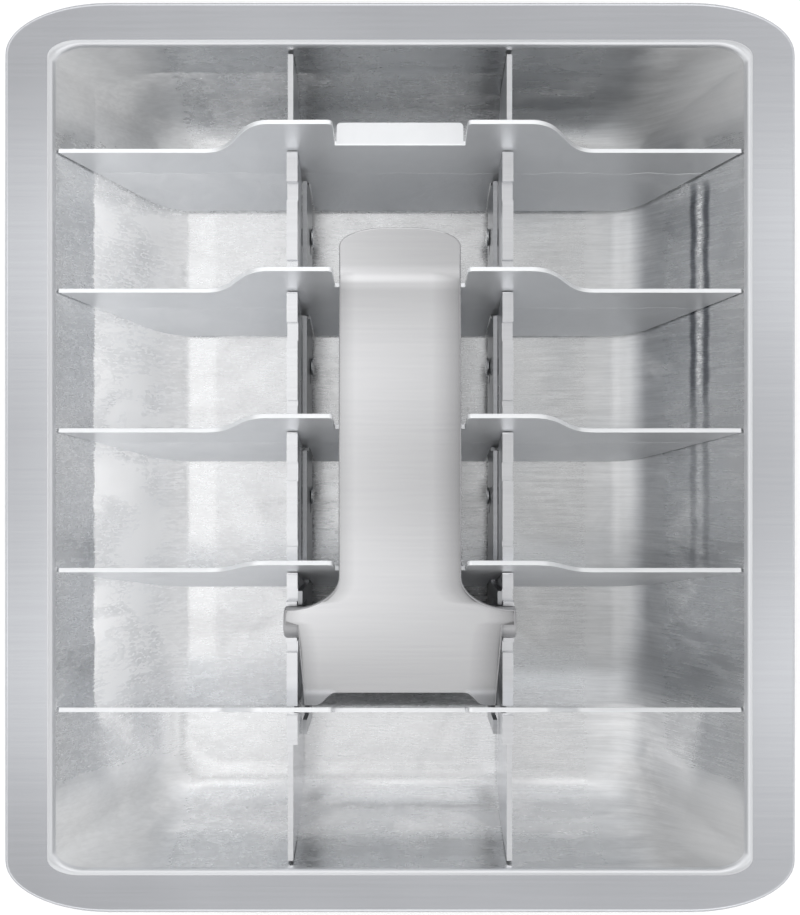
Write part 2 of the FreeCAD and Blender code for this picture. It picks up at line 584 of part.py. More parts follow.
# ---------------------------------------------------------------- export
def build():
    pieces = {"tray_pan": make_pan(), "lever": make_lever()}
    for name, sign in (("left", -1), ("right", 1)):
        pieces["side_rail_" + name] = make_rail(sign)
        pieces["draw_strip_" + name] = make_strip(sign)
        pieces["guide_rivets_" + name] = make_rivets(sign)
    for index in range(BLADE_COUNT):
        pieces["blade_%d" % (index + 1)] = make_blade(index)
    os.makedirs("parts", exist_ok=True)
    for name, shape in pieces.items():
        shape.exportStep("parts/" + name + ".step")
        print(name, "solids", len(shape.Solids), "valid", shape.isValid(), "volume", round(shape.Volume, 1))


build()
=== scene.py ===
"""Lever ice cube tray: the looks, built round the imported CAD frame.

The pan, the lever and the sheet-metal grid are modelled here as fine meshes in
the places of their CAD nodes.  Lengths named in millimetres are turned into
metres by MM where a mesh is made.
"""
import json
import math

import bmesh
import bpy
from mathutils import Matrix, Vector


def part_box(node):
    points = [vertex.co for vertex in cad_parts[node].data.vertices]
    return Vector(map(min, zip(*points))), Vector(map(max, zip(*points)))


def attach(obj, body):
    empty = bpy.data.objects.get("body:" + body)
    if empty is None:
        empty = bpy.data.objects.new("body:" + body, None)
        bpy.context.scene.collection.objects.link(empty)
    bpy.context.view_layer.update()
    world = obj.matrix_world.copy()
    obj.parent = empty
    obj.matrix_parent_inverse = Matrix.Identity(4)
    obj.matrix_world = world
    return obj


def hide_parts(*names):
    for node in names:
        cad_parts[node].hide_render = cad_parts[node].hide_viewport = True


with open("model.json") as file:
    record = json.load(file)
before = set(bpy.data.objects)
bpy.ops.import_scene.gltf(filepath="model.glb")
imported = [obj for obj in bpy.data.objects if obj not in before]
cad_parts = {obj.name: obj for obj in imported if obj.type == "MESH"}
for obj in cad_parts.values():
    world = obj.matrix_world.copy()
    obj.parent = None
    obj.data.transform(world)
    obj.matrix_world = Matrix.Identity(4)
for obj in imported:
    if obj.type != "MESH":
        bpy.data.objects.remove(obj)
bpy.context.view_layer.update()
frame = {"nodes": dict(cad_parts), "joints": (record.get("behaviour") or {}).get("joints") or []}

MM = 0.001

# ---------------------------------------------------------------- sizes, mm
# The pan's outer sizes come from the frame; the rest repeats the pressed form.
PAN_LOW, PAN_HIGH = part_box("tray_pan")
TRAY_WIDTH = (PAN_HIGH.x - PAN_LOW.x) / MM
TRAY_LENGTH = (PAN_HIGH.y - PAN_LOW.y) / MM
PAN_HEIGHT = (PAN_HIGH.z - PAN_LOW.z) / MM
PAN_SHEET = 0.8
RIM_SIDE, RIM_END = 10.2, 9.4           # width of the flat rim at the sides and at the ends
MOUTH_X = TRAY_WIDTH / 2 - RIM_SIDE
MOUTH_Y = TRAY_LENGTH / 2 - RIM_END
RIM_CORNER = (23.0, 11.5)    # corner radii along X and along Y
MOUTH_CORNER = (6.9, 3.7)
FLOOR_CORNER = (11.0, 7.0)
SIDE_RUN = 19.6              # how far a wall leans in over the pan's depth
END_RUN = 7.6
FLOOR_FILLET = 10.5
MOUTH_ROLL = 1.2
EDGE_ROLL = 1.0
LIP_DEPTH = 2.6

LEVER_LOW, LEVER_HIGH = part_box("lever")
HINGE = next(joint for joint in frame["joints"] if joint["name"] == "lever_hinge")
PIVOT_Y, PIVOT_Z = (place / MM for place in HINGE["pos_m"][1:])
LEVER_SHEET = 0.9
LEVER_SKIRT = 1.6
LEVER_ROLL = 0.35            # radius of the lever's rolled edge
REAR_SHARE = 0.35            # share of that radius at the arch and the feet
BARREL_RADIUS = 3.3
BARREL_WALL = 1.0
SHEET_OVER_BARREL = 0.7
TIP_Y = 49.3
TONGUE_HALF = 13.1
TIP_CORNER = (10.2, 3.9)
FLARE_START_Y = -25.4
FLARE_END_Y = PIVOT_Y + 3.2
BASE_FRONT_HALF = 24.7
BASE_HALF = 22.0
FOOT_HALF = 20.6
FOOT_INNER = 18.4
FOOT_Y = LEVER_LOW.y / MM
ARCH_DEPTH = 2.8
ARCH_HALF = 13.4
BOW_RADIUS = 480.0
BOW_CROWN_Y = -8.3
BEND_Y = 37.5
BEND_ANGLE = math.radians(13.5)
BEND_RADIUS = 14.0
FLANGE_OUTER = 20.9
FLANGE_REAR = 10.4
FLANGE_FRONT = 3.3
CAM_THROW = 3.07
CAM_RADIUS = 2.95
CAM_END = 22.2
CAM_RIM = 0.2                # how far the flange reaches past its cam
FLANGE_TURN = math.radians(194.4)       # where the flange's round lower end begins
SMALL_ROUND = 0.15           # rounding of the lever sheet's lower edges
EAR_ROUND = 0.2              # rounding of the ears' and cams' ends
LIP_ROUND = 0.3              # rounding of the rim lip's lower edge
RAIL_HEM = 2.0               # the rails' cut faces this near their top are the hem's band
RAIL_ROUND, THIN_ROUND, RIVET_ROUND = 0.16, 0.1, 0.2     # rounding of the CAD pieces' edges
BLADE_COUNT = 5

CORNER_STEPS = 14            # points round a quarter of a corner
EAR_STEPS = 40               # points round an ear or a cam
CAM_STEPS = 24               # points round a flange's lower end
OGEE_STEPS = 12              # points along each side of the lever's arch
ROLL_STEPS = 7               # bands round a small radius
FILLET_STEPS = 14            # bands round the floor fillet
SIDE_STEPS = 12              # points along the lever's straight sides
BOW_STEPS = 90               # slices along the lever's bow
BEND_STEPS = 24

FLAT_TOP = 0.97              # faces this level keep their own normal, slice by slice
CUT_FACE = 0.5               # faces turned further than this from the plate are its cut edges
SHARP_ANGLE = math.radians(32.0)        # edges turned further than this stay sharp
MERGE_ANGLE = math.radians(1.0)         # faces turned less than this become one
MERGE_DISTANCE, CUT_DISTANCE = 2e-6, 1e-7       # m, points nearer than this are one
ROUNDED_ANGLE = math.radians(40.0)      # edges turned further than this are rounded


# ---------------------------------------------------------------- node trees
class Nodes:
    """Short-hand for building one node tree, of a material or of the world."""

    def __init__(self, owner):
        owner.use_nodes = True
        self.owner = owner
        self.tree = owner.node_tree
        self.places = self.add("ShaderNodeTexCoord").outputs

    def add(self, kind, **settings):
        node = self.tree.nodes.new(kind)
        for key, value in settings.items():
            setattr(node, key, value)
        return node

    def feed(self, value, socket):
        """Give a socket another node's output, or a plain value."""
        if isinstance(value, bpy.types.NodeSocket):
            self.tree.links.new(value, socket)
        elif isinstance(value, tuple) and socket.type == "RGBA":
            socket.default_value = (*value, 1.0)
        else:
            socket.default_value = value

    def math(self, operation, *values):
        node = self.add("ShaderNodeMath", operation=operation)
        for value, socket in zip(values, node.inputs):
            self.feed(value, socket)
        return node.outputs["Value"]

    def times(self, first, *others):
        for value in others:
            first = self.math("MULTIPLY", first, value)
        return first

    def most(self, first, *others):
        for value in others:
            first = self.math("MAXIMUM", first, value)
        return first

    def away(self, source, place):
        """Distance of source from place."""
        return self.math("ABSOLUTE", self.math("SUBTRACT", source, place))

    def blend(self, share, first, second):
        """From first to second by share."""
        return self.math("MULTIPLY_ADD", self.math("SUBTRACT", second, first), share, first)

    def split(self, source):
        node = self.add("ShaderNodeSeparateXYZ")
        self.feed(source, node.inputs["Vector"])
        return node.outputs

    def spread(self, source, low, high, start=0.3, end=0.7, soft=False):
        """Source, from start to end, spread over low to high; start and end suit a noise."""
        node = self.add("ShaderNodeMapRange", interpolation_type="SMOOTHSTEP" if soft else "LINEAR")
        for name, value in (("Value", source), ("From Min", start), ("From Max", end),
                            ("To Min", low), ("To Max", high)):
            self.feed(value, node.inputs[name])
        return node.outputs["Result"]

    def curve(self, source, points, top=1.0):
        """Smooth curve through (place, level) points, held level beyond the ends."""
        low, high = points[0][0], points[-1][0]
        first, *others, last = [((place - low) / (high - low), level / top) for place, level in points]
        node = self.add("ShaderNodeFloatCurve")
        self.feed(self.spread(source, 0.0, 1.0, low, high), node.inputs["Value"])
        knots = node.mapping.curves[0].points
        knots[0].location, knots[-1].location = first, last
        for spot in others:
            knots.new(*spot)
        for knot in knots:
            knot.handle_type = "AUTO_CLAMPED"
        node.mapping.update()
        return self.math("MULTIPLY", node.outputs["Value"], top)

    def noise(self, stretch, scale, detail=4.0, roughness=0.55, distortion=0.0):
        mapping = self.add("ShaderNodeMapping")
        self.feed(stretch, mapping.inputs["Scale"])
        self.feed(self.places["Object"], mapping.inputs["Vector"])
        texture = self.add("ShaderNodeTexNoise")
        for name, value in (("Vector", mapping.outputs["Vector"]), ("Scale", scale), ("Detail", detail),
                            ("Roughness", roughness), ("Distortion", distortion)):
            self.feed(value, texture.inputs[name])
        return texture.outputs["Fac"]

    def mix(self, factor, first, second):
        """From one colour to another by factor; the node has other sockets for other data."""
        node = self.add("ShaderNodeMix", data_type="RGBA")
        for value, index in ((factor, 0), (first, 6), (second, 7)):
            self.feed(value, node.inputs[index])
        return node.outputs[2]

    def shade(self, color, level):
        """A colour made darker by level."""
        node = self.add("ShaderNodeHueSaturation")
        self.feed(color, node.inputs["Color"])
        self.feed(level, node.inputs["Value"])
        return node.outputs["Color"]

    def bump(self, height, distance, base=None):
        node = self.add("ShaderNodeBump")
        self.feed(distance, node.inputs["Distance"])
        self.feed(height, node.inputs["Height"])
        if base is not None:
            self.feed(base, node.inputs["Normal"])
        return node.outputs["Normal"]


# ---------------------------------------------------------------- materials
# Places in materials are metres in the part's frame: X across the tray, Y along it, Z up.
# A curve is a row of (place, level) points.
TIDE_Z = 0.0194              # level that the cells are filled to
TIDE_WAVE = 0.0003           # how far that level wanders
# A noise runs about its middle; these are the spans of it that count.
STREAK_SPAN = (0.55, 1.05)   # of the streaks with HAIR_SHARE of the hairlines
HAIR_SHARE = 0.6
GRAIN_SPAN = (0.36, 0.64)
SPARKLE_SPAN = (0.42, 0.56)
FROST_SPAN = (0.50, 0.66)
WHITE_SPAN = (0.40, 0.62)
GLOSS_WAVE = 0.02            # how far a brushed sheet's roughness wanders

# The pan's white frost film: its share by X, thinned by Y, and the share it has at least at the front; its
# share by place is partly painted light, whiter on the left floors.
FILM_ACROSS = ((-0.075, 0.90), (-0.0535, 0.90), (-0.0515, 0.40), (-0.0465, 0.40), (-0.0445, 0.68),
               (-0.026, 0.56), (-0.018, 0.34), (0.018, 0.30), (0.026, 0.05), (0.050, 0.0), (0.075, 0.0))
FILM_ALONG = ((-0.095, 0.55), (-0.062, 0.55), (-0.056, 1.0), (0.056, 1.0), (0.064, 0.50), (0.095, 0.50))
FILM_FRONT = ((-0.095, 0.52), (-0.060, 0.52), (-0.054, 0.0), (0.095, 0.0))
FILM_CLOUD = (0.75, 1.15)    # factor on the film where it is thin and where it is thick
FILM_FADE = 0.006            # height over which the film ends at the front
FILM_FADE_Y = (-0.066, -0.056)
DRY_FILM = 0.03              # share of the film that stays above the fill level
FROST = 0.32                 # most that frost adds to the film
FROST_GRAIN = 0.6            # share of the frost where the grain is lowest
FILM_COLORS = (0.95, 0.955, 0.963), (0.99, 0.99, 0.993)

# The pan's sheet: its colours, then painted light and shade on it by X, painted shade on the right floor by
# Y, and painted shade towards the back.
SHEET_COLORS = (0.74, 0.752, 0.765), (0.815, 0.82, 0.825)
SHADE_ACROSS = ((-0.075, 1.12), (-0.062, 1.12), (-0.055, 1.0), (-0.02, 1.0), (0.02, 0.95), (0.035, 0.86),
                (0.055, 0.88), (0.064, 0.90), (0.075, 0.92))
RIGHT_FLOOR = ((0.010, 0.0), (0.022, 1.0), (0.052, 1.0), (0.060, 0.25), (0.075, 0.0))
SHADE_RIGHT = ((-0.095, 1.12), (-0.056, 1.12), (-0.050, 0.76), (-0.030, 0.80), (-0.010, 0.93),
               (0.010, 1.0), (0.095, 1.0))
SHADE_TOP = 1.5              # top of the shade curves' scale
BACK_SHADE = 0.91
BACK_Y = (0.060, 0.076)
FLECKS = ((-0.075, 0.05), (-0.056, 0.06), (-0.050, 0.10), (-0.036, 0.08), (-0.030, 0.03), (0.030, 0.03),
          (0.036, 0.06), (0.044, 0.06), (0.052, 0.10), (0.062, 0.10), (0.066, 0.05), (0.075, 0.04))
BRUSH_SHARE = (0.4, 0.85)    # brushed lines against grain, on the left and on the right
BRUSH_X = (-0.03, 0.03)
SHEET_ROUGH, STREAK_ROUGH = 0.14, 0.25  # least roughness, and what the streaks add
# What the right wall's fillet adds, by X.
FILLET_ROUGH = ((0.045, 0.0), (0.051, 0.14), (0.058, 0.14), (0.064, 0.0))
STREAK_DEPTH = (0.000002, 0.000012)     # depth of the streaks on the left and on the right
STREAK_DEPTH_X = (-0.02, 0.04)
WAVE_DEPTH = 0.00034         # depth of the broad unevenness

# The pan's four corners: where they begin and end, how dull and rough they are, and how dark their painted
# shade is.
CORNER_X = (0.050, 0.062)
CORNER_Y = (0.070, 0.082)
CORNER_FILM, CORNER_SHADE, CORNER_ROUGH = 0.45, 0.74, 0.36

# Painted light at the fill level on the right wall: two dark lines of painted shade with a painted
# highlight between them.
TIDE_BAND = 0.0030           # distance between the dark lines
TIDE_SHADE, TIDE_CORE = 0.85, 0.60      # strength of the dark lines and of the bright one
TIDE_LINE = (0.0002, 0.0011)            # distance from a dark line over which it fades
TIDE_CORE_LINE = (0.0001, 0.0009)
TIDE_X = (0.02, 0.05)
TIDE_ALONG = ((-0.030, 0.0), (-0.022, 0.35), (0.010, 0.55), (0.020, 1.0), (0.058, 1.0), (0.064, 0.0))
FILL_LINE_SHADE_COLOR = (0.13, 0.14, 0.16)
TIDE_GRAIN = 0.2             # share of the bright line where the grain is lowest

BLADE_COLORS = (0.825, 0.838, 0.857), (0.860, 0.872, 0.890)
BLADE_SHADE = 0.86           # painted shade: brightness at the right, against 1 at the left
BLADE_SHADE_X = (0.0, 0.045)
BLADE_FILM = 0.22            # share of dull white on the whole blade
WET_FILM = (0.1, 0.75)       # share of it below the fill level, where it is thin and thick
LINE_FILM = (0.1, 0.7)       # and on the painted highlight along that level
RIGHT_FILM = 0.45            # factor on the film below the level, on the right
RIGHT_FILM_X = (-0.03, 0.0)
BLADE_WAVE = 0.0004          # how far the fill level wanders on a blade
BLADE_EDGE = 0.0002          # half the height over which the film begins
BLADE_LINE = (0.0001, 0.0004)           # distance from the fill level over which its painted highlight fades
BLADE_ROUGH, WET_ROUGH = 0.40, 0.03
BLADE_DEPTH = 0.0002         # depth of the film's unevenness

# The lever: its half-width by Y, then painted light and shade on it by Y (shaded feet, a painted highlight
# at the bend, a darker tip) and painted shade in from its left and right sides.
LEVER_SIDE_TOP = 0.03        # top of that curve's scale
LEVER_SIDE = ((FOOT_Y * MM, FOOT_HALF * MM), (PIVOT_Y * MM, 0.0222),
              (PIVOT_Y * MM + 0.001, BASE_FRONT_HALF * MM), (FLARE_END_Y * MM, 0.0240),
              (-0.0305, 0.0155), (FLARE_START_Y * MM, TONGUE_HALF * MM), (0.045, TONGUE_HALF * MM))
LEVER_PAINTED_ALONG = ((-0.0535, 0.56), (-0.0516, 0.58), (-0.0498, 1.0), (0.0355, 1.0), (0.0378, 1.18),
               (0.0400, 1.14), (0.0420, 0.91), (0.0495, 0.90))
LEVER_TIP_Y = (0.036, 0.040)    # the tip has no painted shade at its sides
LEVER_COLORS = (0.636, 0.636, 0.650), (0.660, 0.660, 0.670)
LEVER_ROUGH, LEVER_BRUSH = 0.22, 0.2
LEVER_DEPTH = 0.000003       # depth of the satin lines
# Painted shade in from the lever's left and right sides, by distance in.
SIDE_SHADE_LEFT = ((0.0, 0.40), (0.0003, 0.72), (0.0015, 0.86), (0.0035, 1.0))
SIDE_SHADE_RIGHT = ((0.0, 0.30), (0.0003, 0.55), (0.0025, 0.78), (0.0062, 1.0))


def material(name):
    return Nodes(bpy.data.materials.new(name))


def surface(nodes, color, roughness, metallic=1.0, normal=None, anisotropic=0.0):
    """Set a material's shader; color, roughness, metallic and normal may be node outputs."""
    shader = nodes.tree.nodes["Principled BSDF"]
    for socket, value in (("Base Color", color), ("Roughness", roughness), ("Metallic", metallic)):
        nodes.feed(value, shader.inputs[socket])
    if normal is not None:
        nodes.feed(normal, shader.inputs["Normal"])
    if anisotropic:
        shader.inputs["Anisotropic"].default_value = anisotropic
        brush = nodes.add("ShaderNodeVectorTransform", vector_type="VECTOR",
                          convert_from="OBJECT", convert_to="WORLD")
        brush.inputs["Vector"].default_value = (1.0, 0.0, 0.0)
        nodes.feed(brush.outputs["Vector"], shader.inputs["Tangent"])
    return nodes.owner


def brushed(name, light, dark, roughness, anisotropic, relief=0.00001):
    """Fine lines along X: a band of coarse streaks and one of hairlines."""
    nodes = material(name)
    streaks = nodes.noise((14.0, 900.0, 900.0), 1.0, detail=3.0, roughness=0.6)
    hairs = nodes.noise((60.0, 5200.0, 5200.0), 1.0, detail=2.0, roughness=0.7)
    cloud = nodes.noise((1.0, 1.0, 1.0), 26.0, detail=2.0)
    both = nodes.math("MULTIPLY_ADD", hairs, HAIR_SHARE, streaks)
    gloss = nodes.math("ADD", nodes.spread(cloud, -GLOSS_WAVE, GLOSS_WAVE), roughness)
    sheet = nodes.mix(nodes.spread(both, 0.0, 1.0, *STREAK_SPAN), dark, light)
    return surface(nodes, sheet, gloss, normal=nodes.bump(both, relief), anisotropic=anisotropic)


def lever_satin():
    """Fine satin sheet with painted shade towards its two sides and its feet, a painted highlight at the
    bend and a darker tip.
    """
    nodes = material("lever_satin")
    x, y, _ = nodes.split(nodes.places["Object"])
    hairs = nodes.noise((40.0, 1500.0, 1500.0), 1.0, detail=3.0, roughness=0.6)
    side = nodes.curve(y, LEVER_SIDE, LEVER_SIDE_TOP)
    left = nodes.curve(nodes.math("ADD", side, x), SIDE_SHADE_LEFT)
    right = nodes.curve(nodes.math("SUBTRACT", side, x), SIDE_SHADE_RIGHT)
    # Painted shade towards the sides, none on the tip; then painted light and shade along Y.
    painted_shade = nodes.most(nodes.times(left, right), nodes.spread(y, 0.0, 1.0, *LEVER_TIP_Y))
    painted_shade = nodes.times(painted_shade, nodes.curve(y, LEVER_PAINTED_ALONG, SHADE_TOP))
    sheet = nodes.mix(nodes.spread(hairs, 0.0, 1.0), *LEVER_COLORS)
    return surface(nodes, nodes.shade(sheet, painted_shade), LEVER_ROUGH, normal=nodes.bump(hairs, LEVER_DEPTH),
                   anisotropic=LEVER_BRUSH)


def painted_pan_shade(nodes, x, y, ends, streaks):
    """Painted light and shade on the pan's sheet from place to place, with its own fine flecks."""
    # Painted light and shade by X, painted shade on the right floor, in the corners and towards the back.
    right = nodes.blend(nodes.curve(x, RIGHT_FLOOR), 1.0, nodes.curve(y, SHADE_RIGHT, SHADE_TOP))
    corner = nodes.blend(ends, 1.0, CORNER_SHADE)
    back = nodes.spread(y, 1.0, BACK_SHADE, *BACK_Y, soft=True)
    fleck = nodes.times(nodes.spread(streaks, -1.0, 1.0, *GRAIN_SPAN), nodes.curve(x, FLECKS))
    return nodes.times(nodes.curve(x, SHADE_ACROSS, SHADE_TOP), right, corner, back,
                       nodes.math("ADD", fleck, 1.0))


def fill_line_painted_light(nodes, x, y, depth, grain):
    """Painted light at the fill level on the right wall: two dark lines of painted shade, and a painted
    highlight between them.
    """
    middle = nodes.away(depth, TIDE_Z - TIDE_BAND / 2)
    wall = nodes.times(nodes.spread(x, 0.0, 1.0, *TIDE_X), nodes.curve(y, TIDE_ALONG))
    dark = nodes.spread(nodes.away(middle, TIDE_BAND / 2), TIDE_SHADE, 0.0, *TIDE_LINE, soft=True)
    bright = nodes.times(wall, nodes.spread(grain, TIDE_GRAIN, 1.0, *SPARKLE_SPAN),
                         nodes.spread(middle, TIDE_CORE, 0.0, *TIDE_CORE_LINE, soft=True))
    return nodes.times(dark, wall), bright


def pan_inside():
    """Bright pressed sheet under a frosted film: whiter on the left, clearer on the right, partly as
    painted light; with painted shade by place and painted light at the fill level.
    """
    nodes = material("pan_inside")
    x, y, z = nodes.split(nodes.places["Object"])
    brush = nodes.noise((70.0, 1300.0, 70.0), 1.0, detail=4.0, roughness=0.7, distortion=0.2)
    grain = nodes.noise((0.5, 1.6, 1.0), 820.0, detail=3.0, roughness=0.5, distortion=0.4)
    cloud = nodes.noise((1.0, 0.8, 1.0), 75.0, detail=4.0, roughness=0.55, distortion=0.6)
    wisps = nodes.noise((0.7, 1.5, 1.0), 48.0, detail=5.0, roughness=0.5, distortion=1.6)
    broad = nodes.noise((1.0, 1.0, 1.0), 60.0, detail=2.0, roughness=0.45, distortion=0.5)
    wobble = nodes.noise((1.0, 1.0, 0.3), 160.0, detail=3.0)
    streaks = nodes.blend(nodes.spread(x, *BRUSH_SHARE, *BRUSH_X), grain, brush)
    ends = nodes.times(nodes.spread(nodes.math("ABSOLUTE", x), 0.0, 1.0, *CORNER_X, soft=True),
                       nodes.spread(nodes.math("ABSOLUTE", y), 0.0, 1.0, *CORNER_Y, soft=True))

    depth = nodes.math("ADD", z, nodes.spread(wobble, -TIDE_WAVE, TIDE_WAVE))
    edge = nodes.spread(y, TIDE_Z - FILM_FADE, TIDE_Z - TIDE_WAVE, *FILM_FADE_Y)
    filled = nodes.spread(depth, 1.0, 0.0, edge, TIDE_Z + TIDE_WAVE, soft=True)
    # The film's share by X and Y is partly painted light: whiter on the left.
    film = nodes.times(nodes.curve(x, FILM_ACROSS), nodes.curve(y, FILM_ALONG))
    film = nodes.times(nodes.most(film, nodes.curve(y, FILM_FRONT)), nodes.spread(cloud, *FILM_CLOUD))
    frost = nodes.times(nodes.spread(wisps, 0.0, FROST, *FROST_SPAN),
                        nodes.spread(grain, FROST_GRAIN, 1.0, *GRAIN_SPAN))
    film = nodes.times(nodes.math("ADD", film, frost), nodes.blend(filled, DRY_FILM, 1.0))
    # Painted shade and a painted highlight at the fill level on the right wall.
    dark, bright = fill_line_painted_light(nodes, x, y, depth, grain)
    film = nodes.most(film, nodes.times(ends, CORNER_FILM), bright)

    sheet = nodes.mix(nodes.spread(cloud, 0.0, 1.0), *SHEET_COLORS)
    white = nodes.mix(nodes.spread(wisps, 0.0, 1.0, *WHITE_SPAN), *FILM_COLORS)
    # The sheet takes painted light and shade by place, and its own flecks.
    sheet = nodes.shade(nodes.mix(film, sheet, white), painted_pan_shade(nodes, x, y, ends, streaks))
    rough = nodes.math("MULTIPLY_ADD", streaks, STREAK_ROUGH, SHEET_ROUGH)
    rough = nodes.math("MULTIPLY_ADD", ends, CORNER_ROUGH, rough)
    rough = nodes.math("ADD", rough, nodes.curve(x, FILLET_ROUGH))
    relief = nodes.bump(streaks, nodes.spread(x, *STREAK_DEPTH, *STREAK_DEPTH_X),
                        nodes.bump(broad, WAVE_DEPTH))
    # The dark lines of painted shade at the fill level.
    return surface(nodes, nodes.mix(dark, sheet, FILL_LINE_SHADE_COLOR), rough,
                   nodes.math("SUBTRACT", 1.0, film), relief)


def blade_face():
    """Smooth sheet, frosted below the fill level, with a thin painted highlight at that level and painted
    shade towards the right.
    """
    nodes = material("blade_sheet")
    x, _, z = nodes.split(nodes.places["Object"])
    cloud = nodes.noise((1.0, 1.0, 1.0), 130.0, detail=4.0, roughness=0.6, distortion=0.8)
    wobble = nodes.noise((1.0, 1.0, 0.2), 210.0, detail=3.0)
    depth = nodes.math("ADD", z, nodes.spread(wobble, -BLADE_WAVE, BLADE_WAVE))
    filled = nodes.spread(depth, 1.0, 0.0, TIDE_Z - BLADE_EDGE, TIDE_Z + BLADE_EDGE, soft=True)
    # Painted highlight along the fill level.
    line = nodes.spread(nodes.away(depth, TIDE_Z), 1.0, 0.0, *BLADE_LINE, soft=True)
    side = nodes.spread(x, 1.0, RIGHT_FILM, *RIGHT_FILM_X, soft=True)
    film = nodes.most(nodes.times(filled, side, nodes.spread(cloud, *WET_FILM)),
                      nodes.times(line, nodes.spread(cloud, *LINE_FILM)), BLADE_FILM)
    sheet = nodes.mix(nodes.spread(cloud, 0.0, 1.0), *BLADE_COLORS)
    # Painted shade towards the right.
    sheet = nodes.shade(sheet, nodes.spread(x, 1.0, BLADE_SHADE, *BLADE_SHADE_X))
    relief = nodes.bump(nodes.times(cloud, filled), BLADE_DEPTH)
    return surface(nodes, sheet, nodes.math("MULTIPLY_ADD", filled, WET_ROUGH, BLADE_ROUGH),
                   nodes.math("SUBTRACT", 1.0, film), relief)


# Brushed: light and dark colour, roughness, stretch of the gloss, depth of the lines.
# Plain: colour, roughness, share of metal.
RIM_METAL = brushed("rim_brushed", (0.592, 0.603, 0.632), (0.562, 0.573, 0.602), 0.22, 0.3, 0.000004)
OUTSIDE_METAL = brushed("pan_outside", (0.62, 0.63, 0.64), (0.55, 0.56, 0.575), 0.36, 0.4)
INSIDE_METAL = pan_inside()
BLADE_METAL = blade_face()
MOUTH_METAL = surface(material("mouth_roll"), (0.66, 0.67, 0.69), 0.34, 0.80)
EDGE_METAL = surface(material("cut_edge"), (0.86, 0.865, 0.87), 0.50, 0.20)
# Near-white copy of the rail sheet on the rails' top hem band: a painted highlight.
RAIL_HIGHLIGHT_METAL = surface(material("rail_band_highlight"), (0.99, 0.99, 0.995), 0.50, 0.05)
RAIL_METAL = brushed("rail_sheet", (0.72, 0.727, 0.745), (0.66, 0.667, 0.685), 0.28, 0.2)
# Darker copy of the rail sheet for the draw strips: painted shade where they lie low between the rails.
STRIP_SHADE_METAL = brushed("strip_sheet_shaded", (0.40, 0.407, 0.42), (0.34, 0.347, 0.36), 0.30, 0.3)
RIVET_METAL = surface(material("rivet_head"), (0.64, 0.65, 0.66), 0.26)
# Darker copy of the lever sheet on its rolled edges, underside and ears: painted shade.
EDGE_SHADE_METAL = surface(material("lever_edge_shade"), (0.38, 0.38, 0.39), 0.50, 0.45)
LEVER_METAL = lever_satin()


# ---------------------------------------------------------------- mesh helpers
def arc_quarter(start, corner, end, steps):
    """Points of a quarter ellipse from start to end, without its last point."""
    centre = start + end - corner
    return [centre + (start - centre) * math.cos(math.pi / 2 * k / steps)
            + (end - centre) * math.sin(math.pi / 2 * k / steps) for k in range(steps)]


def ogee_points(start, end, steps):
    """S-curve from start to end that leaves and arrives along X, without its last point."""
    half = Vector(((end.x - start.x) / 2, 0.0))
    points = []
    for k in range(steps):
        t = k / steps
        points.append(start * (1 - t) ** 3 + (start + half) * 3 * t * (1 - t) ** 2
                      + (end - half) * 3 * t ** 2 * (1 - t) + end * t ** 3)
    return points


def shell(name, rings, materials, slots=None):
    """Closed mesh through rings of equally many points; slots gives each band's material index."""
    mesh = bpy.data.meshes.new(name)
    build = bmesh.new()
    loops = [[build.verts.new(Vector(p) * MM) for p in ring] for ring in rings]
    count = len(loops[0])
    for index, (lower, upper) in enumerate(zip(loops, loops[1:])):
        for k in range(count):
            face = build.faces.new((lower[k], lower[(k + 1) % count], upper[(k + 1) % count], upper[k]))
            face.material_index = slots[index] if slots else 0
    for loop, index in ((loops[0][::-1], 0), (loops[-1], -1)):
        build.faces.new(loop).material_index = slots[index] if slots else 0
    bmesh.ops.recalc_face_normals(build, faces=build.faces)
    build.to_mesh(mesh)
    build.free()
    for finish in materials:
        mesh.materials.append(finish)
    obj = bpy.data.objects.new(name, mesh)
    bpy.context.scene.collection.objects.link(obj)
    return obj


def smooth(obj):
    """Smooth shading with flat faces kept flat."""
    for polygon in obj.data.polygons:
        polygon.use_smooth = True
    obj.data.set_sharp_from_angle(angle=SHARP_ANGLE)
    obj.modifiers.new("weights", "WEIGHTED_NORMAL").keep_sharp = True
    return obj


# ---------------------------------------------------------------- pan
class Wall:
    """One pair of pan walls: half-width at each height for a skin outside the inner face."""

    def __init__(self, mouth, run):
        self.mouth = mouth
        self.tangent = run / (PAN_HEIGHT - PAN_SHEET)
        self.slope = math.atan(self.tangent)

    def straight(self, z, skin):
        return self.mouth - (PAN_HEIGHT - z) * self.tangent + skin / math.cos(self.slope)

    def half(self, z, skin, floor, fillet, top, roll):
        low = floor + fillet * (1 - math.sin(self.slope))
        high = top - roll * (1 - math.sin(self.slope))
        if z < low:
            centre = self.straight(low, skin) - fillet * math.cos(self.slope)
            return centre + math.sqrt(max(fillet ** 2 - (floor + fillet - z) ** 2, 0))
        if z > high:
            centre = self.straight(high, skin) + roll * math.cos(self.slope)
            return centre - math.sqrt(max(roll ** 2 - (z - top + roll) ** 2, 0))
        return self.straight(z, skin)


SIDE_WALL = Wall(MOUTH_X, SIDE_RUN)
END_WALL = Wall(MOUTH_Y, END_RUN)


